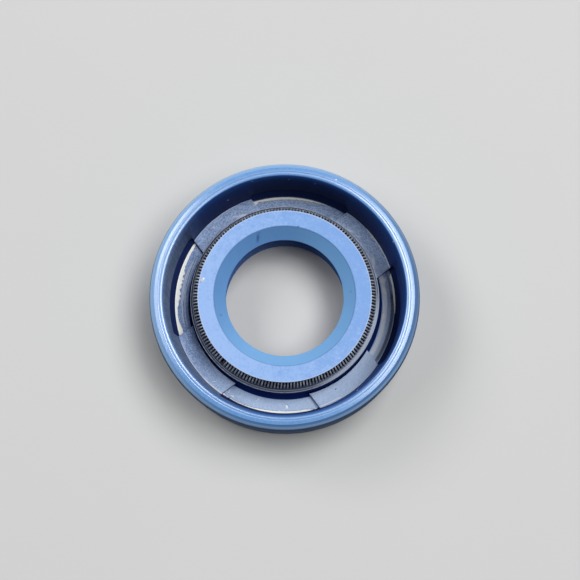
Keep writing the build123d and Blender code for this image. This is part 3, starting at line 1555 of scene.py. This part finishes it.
    def section(self, cut: Cut) -> Section:
        """The whole closed section, through a window or through a pad."""
        items = self.outside() + self.dust_lip() + self.sealing_lip() + self.channel(cut) + self.rim()
        return Section(tuple(items))

    def skin_stations(self, at_window: np.ndarray, runs: list[Run]) -> np.ndarray:
        """The stations that a window's skin and the foot of its wall run over.

        Args:
            at_window: Radius and height of the section's stations in a window.
            runs: Each station's run.

        Returns:
            Their numbers.
        """
        radii, levels = at_window[:, 0], at_window[:, 1]
        skin = np.array([run is Run.SKIN for run in runs])
        foot = (radii >= self.strip_outer_r) & (radii < self.pad_outer_r)
        foot &= (levels > self.foot_bottom) & (levels < self.steel_top + self.skin)
        return np.flatnonzero(skin | foot)

    def uncover(
        self,
        heights: np.ndarray,
        at_window: np.ndarray,
        runs: list[Run],
        bearings: np.ndarray,
        window_share: np.ndarray,
    ) -> None:
        """Lays the rubber skin over the steel in each window, with its ragged edge.

        Args:
            heights: Heights of all points, one row for each line, changed in place.
            at_window: Radius and height of the section's stations in a window.
            runs: Each station's run.
            bearings: Bearing of each line in degrees.
            window_share: 0 for each line on a pad to 1 in a window.
        """
        top = self.steel_top + self.skin
        columns = self.skin_stations(at_window, runs)
        radii = np.minimum(at_window[columns, 0], self.strip_outer_r)
        for window in self.windows:
            away = (bearings - window.centre + 180.0) % 360.0 - 180.0
            lines = np.flatnonzero(np.abs(away) < self.pads.half_pitch())
            level = top - window.bareness(away[lines], radii) * (self.skin + self.sunk)
            share = window_share[lines][:, None]
            current = heights[np.ix_(lines, columns)]
            heights[np.ix_(lines, columns)] = current * (1 - share) + level * share

    def build(self) -> bpy.types.Object:
        """Makes the body's mesh.

        Returns:
            The new piece.
        """
        at_pad, runs = self.section(Cut.PAD).stations()
        at_window, _ = self.section(Cut.WINDOW).stations()
        pad, around, window_share = self.pads.lines()
        wall = np.array([run is Run.WALL for run in runs])[None, :]
        share = np.where(wall, self.pads.wall_share(around)[:, None], window_share[:, None])
        radii = at_pad[None, :, 0] * (1 - share) + at_window[None, :, 0] * share
        heights = at_pad[None, :, 1] * (1 - share) + at_window[None, :, 1] * share
        self.uncover(heights, at_window, runs, pad + around, window_share)
        follow = smooth(radii, *self.follow_inner) * smooth(radii, *self.follow_outer)
        follow = follow * smooth(heights, *self.follow_height)
        bearing = np.radians(pad[:, None] + self.pads.bearing_at(around, radii, follow))
        faces = ring_faces(len(pad), len(runs))[:, ::-1]
        return new_piece("rubber_body", round_points(radii, bearing, heights), faces)

    def fit(self) -> bpy.types.Object:
        """Builds, dresses and places the body.

        Returns:
            The finished piece.
        """
        piece = self.build()
        dress(piece, self.finish.material())
        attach(piece, "root")
        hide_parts("seal_body")
        return piece


# ---------------------------------------------------------------- garter spring


@dataclass
class GarterSpring:
    """One round wire wound into coils round a ring and closed by a nib."""

    ring_r: float = 7.95
    height: float = 4.85
    wire_d: float = 0.205
    coil_d: float = 1.35
    coils: int = 176
    nib_coils: int = 3
    nib_bearing: float = 237.0
    nib_clearance: float = 0.01
    nib_taper: Point = (1.3, 0.3)
    steps: int = 28
    sides: int = 10
    finish: DrawnWire = field(default_factory=DrawnWire)

    def centre_line(self) -> np.ndarray:
        """Centre line of the wire, with its last coils wound smaller.

        Returns:
            Its points in millimetres, one row each.
        """
        turns = np.arange((self.coils + self.nib_coils) * self.steps + 1) / self.steps
        coil_r = (self.coil_d - self.wire_d) / 2
        nib_r = coil_r - self.wire_d - self.nib_clearance
        narrowing = smooth(turns, *(self.coils - before for before in self.nib_taper))
        radius = coil_r + (nib_r - coil_r) * narrowing
        ring = math.radians(self.nib_bearing) + FULL_TURN * turns / self.coils
        out = self.ring_r + radius * np.cos(FULL_TURN * turns)
        up = self.height + radius * np.sin(FULL_TURN * turns)
        return round_points(out, ring, up)

    def build(self) -> bpy.types.Object:
        """Makes the wire's mesh round its centre line, with rounded ends.

        Returns:
            The new piece.
        """
        line = self.centre_line()
        heading = np.gradient(line, axis=0)
        heading /= np.linalg.norm(heading, axis=1)[:, None]
        ring = np.arctan2(line[:, 1], line[:, 0])
        out = line - round_points(self.ring_r, ring, np.full(len(ring), self.height))
        out -= heading * np.sum(out * heading, axis=1)[:, None]
        out /= np.linalg.norm(out, axis=1)[:, None]
        side = np.cross(heading, out)
        angles = FULL_TURN * np.arange(self.sides)[None, :, None] / self.sides
        around = out[:, None, :] * np.cos(angles) + side[:, None, :] * np.sin(angles)
        points = line[:, None, :] + around * self.wire_d / 2
        faces = ring_faces(len(line), self.sides)[: -self.sides]
        return new_piece("spring_wire", points.reshape(-1, 3), faces)

    def fit(self) -> bpy.types.Object:
        """Builds, dresses and places the spring.

        Returns:
            The finished piece.
        """
        piece = self.build()
        dress(piece, self.finish.material())
        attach(piece, "root")
        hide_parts("garter_spring")
        return piece


# ---------------------------------------------------------------- steel case


@dataclass
class SteelCase:
    """The L-shaped case: a leg along the outside and a flange towards the shaft, with one bend."""

    outer_r: float = 12.05
    sheet: float = 0.8
    bend: float = 0.6
    bottom: float = 0.75
    top: float = 6.3
    bore_r: float = 9.45
    rise_start_r: float = 10.25
    rise_end: float = -58.0
    lines: int = 240
    finish: BareSteel = field(default_factory=BareSteel)

    def section(self) -> Section:
        """The closed section of the case.

        Returns:
            The section, from the outside of the bend on.
        """
        floor = self.bottom + self.sheet
        inner_r = self.outer_r - self.sheet
        centre = (inner_r - self.bend, floor + self.bend)
        return Section(
            (
                Sweep(centre, self.bend + self.sheet, -90.0, 0.0, 16),
                Corner(self.outer_r, self.top, 0.05, 2, 3),
                Corner(inner_r, self.top, 0.05, 2),
                Sweep(centre, self.bend, 0.0, self.rise_end, 12, 3),
                Corner(self.rise_start_r, floor, 0.10, 4),
                Corner(self.bore_r, floor, 0.08, 3, 4),
                Corner(self.bore_r, self.bottom, 0.05, 2),
            )
        )

    def build(self) -> bpy.types.Object:
        """Makes the case's mesh.

        Returns:
            The new piece.
        """
        section, _ = self.section().stations()
        bearings = FULL_TURN * np.arange(self.lines) / self.lines
        heights = np.tile(section[:, 1], (self.lines, 1))
        points = round_points(section[None, :, 0], bearings[:, None], heights)
        return new_piece("steel_case", points, ring_faces(self.lines, len(section)))

    def fit(self) -> bpy.types.Object:
        """Builds, dresses and places the case.

        Returns:
            The finished piece.
        """
        piece = self.build()
        dress(piece, self.finish.material())
        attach(piece, "root")
        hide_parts("metal_case")
        return piece


# ---------------------------------------------------------------- studio and view


@dataclass(frozen=True)
class SoftLamp:
    """A soft lamp aimed at the seal."""

    name: str
    bearing: float
    elevation: float
    distance: float
    size: float
    power: float

    def switch_on(self) -> None:
        """Makes the lamp."""
        light = bpy.data.lights.new(self.name, "AREA")
        light.shape = "DISK"
        light.size = self.size
        light.energy = self.power
        lamp = bpy.data.objects.new(self.name, light)
        away = outward(self.bearing, self.elevation)
        lamp.location = away * self.distance
        lamp.rotation_euler = away.to_track_quat("Z", "Y").to_euler()
        bpy.context.scene.collection.objects.link(lamp)


@dataclass
class Studio:
    """Plain pale floor, soft lamps and an even world."""

    floor_size: float = 2.0
    world_strength: float = 0.02
    lamps: tuple[SoftLamp, ...] = (
        SoftLamp("lamp_back_right_high", 60.0, 75.0, 0.6, 0.22, 0.60),
        SoftLamp("lamp_back_right_low", 56.0, 58.0, 0.6, 0.26, 1.15),
        SoftLamp("lamp_right", 20.0, 60.0, 0.6, 0.26, 0.85),
        SoftLamp("lamp_right_front", 347.0, 64.0, 0.6, 0.24, 0.60),
        SoftLamp("lamp_left", 180.0, 54.0, 0.6, 0.26, 0.55),
        SoftLamp("lamp_left_back", 150.0, 41.0, 0.6, 0.26, 0.95),
    )
    floor: PaleFloor = field(default_factory=PaleFloor)

    def set_up(self) -> None:
        """Builds the floor and the lights and sets the plain view transform."""
        half = self.floor_size / MM / 2
        corners = np.array([(-half, -half, 0), (half, -half, 0), (half, half, 0), (-half, half, 0)], float)
        floor = new_piece("studio_floor", corners, np.array([[0, 1, 2, 3]]))
        dress(floor, self.floor.material())
        world = bpy.data.worlds.new("studio_world")
        world.use_nodes = True
        background = world.node_tree.nodes["Background"]
        background.inputs["Color"].default_value = (1.0, 1.0, 1.0, 1.0)
        background.inputs["Strength"].default_value = self.world_strength
        bpy.context.scene.world = world
        for lamp in self.lamps:
            lamp.switch_on()
        bpy.context.scene.view_settings.view_transform = "Standard"


@dataclass(frozen=True)
class ViewCamera:
    """Camera over the seal, a little to the side of the shaft's line."""

    aim: tuple[float, float, float] = (0.470, 0.368, 7.0)
    bearing: float = -79.40
    elevation: float = 80.02
    distance: float = 98.05
    roll: float = -2.50
    lens: float = 66.1
    sensor: float = 36.0
    clip: Point = (0.01, 10.0)

    def place(self) -> None:
        """Makes the camera and gives it to the scene."""
        data = bpy.data.cameras.new("view_camera")
        data.lens = self.lens
        data.sensor_width = self.sensor
        data.clip_start, data.clip_end = self.clip
        camera = bpy.data.objects.new("view_camera", data)
        away = outward(self.bearing, self.elevation)
        right = (-away).cross(Vector((0, 0, 1))).normalized()
        up = right.cross(-away)
        axes = Matrix((right, up, away)).transposed() @ Matrix.Rotation(math.radians(self.roll), 3, "Z")
        stand = Vector(self.aim) + away * self.distance
        camera.matrix_world = Matrix.Translation(stand * MM) @ axes.to_4x4()
        bpy.context.scene.collection.objects.link(camera)
        bpy.context.scene.camera = camera


# ---------------------------------------------------------------- this seal


class Side(Enum):
    """The seal's four windows, by the bearing of their centres."""

    EAST = 0.0
    NORTH = 90.0
    WEST = 180.0
    SOUTH = 270.0


def seal_windows() -> tuple[Window, ...]:
    """The four windows with the steel that each leaves bare.

    Returns:
        The windows, by their bearings from the east on.
    """
    east = (
        (-26, 10.66), (1.5, 10.66), (4, 10.56), (9, 10.50), (16, 10.52), (21, 10.50), (22, 10.62),
        (26, 10.66),
    )
    north = (
        (-26.0, 10.10), (-24.3, 10.18), (-23.6, 10.66), (-19, 10.58), (-13, 10.50), (-8, 10.42), (0, 10.36),
        (10, 10.34), (18, 10.32), (21.5, 10.40), (22.3, 10.34), (23.5, 10.20), (26.0, 10.08),
    )
    west = (
        (-26, 10.56), (-23, 10.43), (-18, 10.41), (-12, 10.37), (-9.5, 10.36), (-8, 10.14), (-6.5, 10.33),
        (-5, 10.07), (-4, 10.31), (-3, 10.09), (-2, 10.33), (-1, 10.13), (1, 10.34), (3, 10.11), (4.2, 10.33),
        (5.4, 10.10), (7, 10.35), (9, 10.31), (10, 10.45), (15, 10.47), (18, 10.38), (21, 10.26), (26, 10.18),
    )
    south = (
        (-26, 10.45), (-24.5, 10.48), (-23, 10.62), (-8, 10.60), (-6, 10.54), (-3, 10.52), (2, 10.50),
        (5, 10.45), (7, 10.51), (12, 10.50), (18, 10.50), (20.5, 10.62), (26, 10.64),
    )
    spots = (BareSpot(9.0, 10.05, 0.8, 0.27), BareSpot(-20.0, 10.33, 1.3, 0.10))
    return (
        Window(Side.EAST.value, east, 0.015),
        Window(Side.NORTH.value, north, 0.03, 10.54),
        Window(Side.WEST.value, west, 0.05),
        Window(Side.SOUTH.value, south, 0.03, 10.70, spots),
    )


def seal_marks() -> tuple[Mark | Streak, ...]:
    """Flecks, nicks, blotches and flow lines of the rubber.

    Returns:
        The marks, in the order in which they are laid over each other.
    """
    white: Colour = (0.90, 0.93, 0.94)
    tan: Colour = (0.62, 0.56, 0.45)
    rust: Colour = (0.36, 0.25, 0.16)
    chalk: Colour = (0.72, 0.80, 0.92)
    pale: Colour = (0.84, 0.91, 1.00)
    shade: Colour = (0.045, 0.130, 0.360)
    dark: Colour = (0.004, 0.020, 0.080)
    lip, pad, skin, rim = 5.95, 2.1, 1.65, 6.97
    return (
        # lip: fleck, flow mark and nick
        Mark(177.5, 7.80, lip, 0.20, 0.17, tan),
        Mark(179.2, 7.88, lip, 0.08, 0.09, rust),
        Mark(176.4, 7.72, lip, 0.11, 0.10, white),
        Mark(122.5, 6.15, 5.30, 0.85, 0.24, shade, slant=-28.0, core=0.05, strength=0.85),
        Mark(119.5, 6.45, 5.70, 0.14, 0.10, shade, core=0.2, strength=0.8),
        Mark(87.0, 6.66, lip, 0.10, 0.16, shade, strength=0.8),
        Mark(12.0, 6.20, 5.40, 0.30, 0.12, shade, slant=20.0, core=0.1, strength=0.4),
        Mark(205.0, 6.20, 5.40, 0.35, 0.14, shade, slant=-15.0, core=0.1, strength=0.4),
        # pads: chalk brush strokes, scratches and specks, and painted highlights along the outer edges
        Mark(57.0, 9.42, pad, 0.22, 1.0, chalk, slant=20.0, core=0.1, strength=0.6),
        Mark(50.5, 9.62, pad, 0.16, 0.5, chalk, slant=28.0, core=0.1, strength=0.5),
        Mark(33.0, 9.45, pad, 0.26, 1.0, chalk, slant=-20.0, core=0.1, strength=0.55),
        Mark(124.0, 9.50, pad, 0.26, 0.9, chalk, slant=-18.0, core=0.1, strength=0.6),
        Mark(128.0, 9.75, pad, 0.14, 0.4, chalk, slant=-35.0, core=0.1, strength=0.5),
        Mark(141.5, 10.15, pad, 0.09, 0.09, white),
        Mark(45.0, 10.62, pad, 0.07, 0.09, white),
        Mark(237.0, 10.20, pad, 0.38, 0.05, chalk, slant=-38.0),
        Mark(308.0, 9.70, pad, 0.08, 0.12, dark),
        Mark(218.0, 10.45, pad, 0.06, 0.30, chalk, slant=60.0, core=0.2, strength=0.5),
        # painted highlights: bright lines along the pads' rounded outer edges
        Streak(228.0, 17.0, 10.70, 0.050, pad, chalk, 0.85),
        Streak(238.0, 5.0, 10.69, 0.055, pad, white, 0.90),
        Streak(315.0, 17.0, 10.70, 0.045, pad, chalk, 0.70),
        Streak(302.0, 5.0, 10.58, 0.035, pad, white, 0.85, 1.5),
        Streak(36.0, 12.0, 10.70, 0.050, pad, white, 0.90),
        Streak(139.0, 14.0, 10.70, 0.040, pad, chalk, 0.60),
        # windows: blotches, painted shadow on the outer part of the right-hand skin and painted light on its
        # inner part, fine lines on the left one
        # painted shadow: the right-hand skin dark where its wall shades it
        Streak(354.0, 17.0, 10.42, 0.16, skin, dark, 0.80, 5.0),
        Streak(16.0, 5.0, 10.30, 0.10, skin, dark, 0.60, 5.0),
        # painted light: the right-hand skin paler on its inner part
        Streak(0.0, 22.0, 9.70, 0.20, skin, pale, 0.80),
        Mark(15.0, 9.70, skin, 0.22, 0.60, white, slant=10.0, core=0.35, strength=0.8),
        Mark(0.0, 9.64, skin, 0.22, 0.45, white, slant=-8.0, core=0.4, strength=0.85),
        Mark(20.8, 9.78, skin, 0.42, 0.32, white, slant=25.0, core=0.35, strength=0.8),
        Mark(350.0, 9.86, skin, 0.26, 0.90, chalk, core=0.2, strength=0.55),
        Mark(341.0, 10.20, skin, 0.22, 0.8, tan, core=0.1, strength=0.35),
        Streak(182.0, 22.0, 9.90, 0.45, skin, shade, 0.22, 3.0),
        Streak(184.0, 14.0, 9.98, 0.040, skin, chalk, 0.80, 5.0),
        Streak(175.0, 10.0, 9.85, 0.036, skin, chalk, 0.75, 4.0),
        Streak(190.0, 9.0, 9.72, 0.036, skin, chalk, 0.75, 4.0),
        Streak(170.0, 7.0, 9.64, 0.030, skin, chalk, 0.70, 3.0),
        Streak(181.0, 7.0, 10.09, 0.030, skin, chalk, 0.75, 3.0),
        Mark(263.0, 9.70, skin, 0.16, 0.18, chalk, core=0.2, strength=0.8),
        Mark(262.0, 9.86, skin, 0.10, 0.10, chalk, core=0.2, strength=0.7),
        Mark(246.3, 10.15, skin, 0.35, 0.06, white, core=0.3, strength=0.7),
        Streak(100.0, 16.0, 10.27, 0.045, skin, tan, 0.45),
        # painted shadow: dark along the foot of the back window's wall
        Streak(90.0, 24.0, 10.62, 0.060, skin, dark, 1.0),
        # walls and rim: painted shade darkening the bead at the front, specks
        Streak(282.0, 38.0, 11.27, 0.13, 6.83, shade, 0.80, 28.0),
        Mark(103.0, 10.72, 2.45, 0.13, 0.13, white),
        Mark(128.0, 10.95, 4.60, 0.09, 0.09, white),
        Mark(316.7, 10.95, 4.60, 0.09, 0.09, white),
        Mark(34.0, 11.25, 6.80, 0.09, 0.10, white),
        Mark(114.0, 11.20, 6.72, 0.08, 0.09, white),
        Mark(74.0, 11.85, rim, 0.09, 0.09, white),
        Mark(315.0, 11.12, 6.60, 0.08, 0.09, white),
        Mark(96.0, 11.08, 6.20, 0.05, 0.16, chalk, strength=0.7),
        Mark(83.0, 11.05, 6.05, 0.05, 0.14, chalk, strength=0.7),
    )


def main() -> None:
    """Builds the seal, the studio and the camera, and reports each piece."""
    logging.basicConfig(level=logging.INFO, format="%(name)s: %(message)s")
    ViewCamera().place()
    Studio().set_up()
    _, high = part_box("seal_body")
    rubber = BlueRubber(marks=seal_marks())
    body = RubberBody(high.x / MM, high.z / MM, windows=seal_windows(), finish=rubber)
    for sub_assembly in (body, GarterSpring(), SteelCase()):
        piece = sub_assembly.fit()
        triangles = sum(len(face.vertices) - 2 for face in piece.data.polygons)
        log.info("%s: %d triangles", piece.name, triangles)


if __name__ == "__main__":
    main()
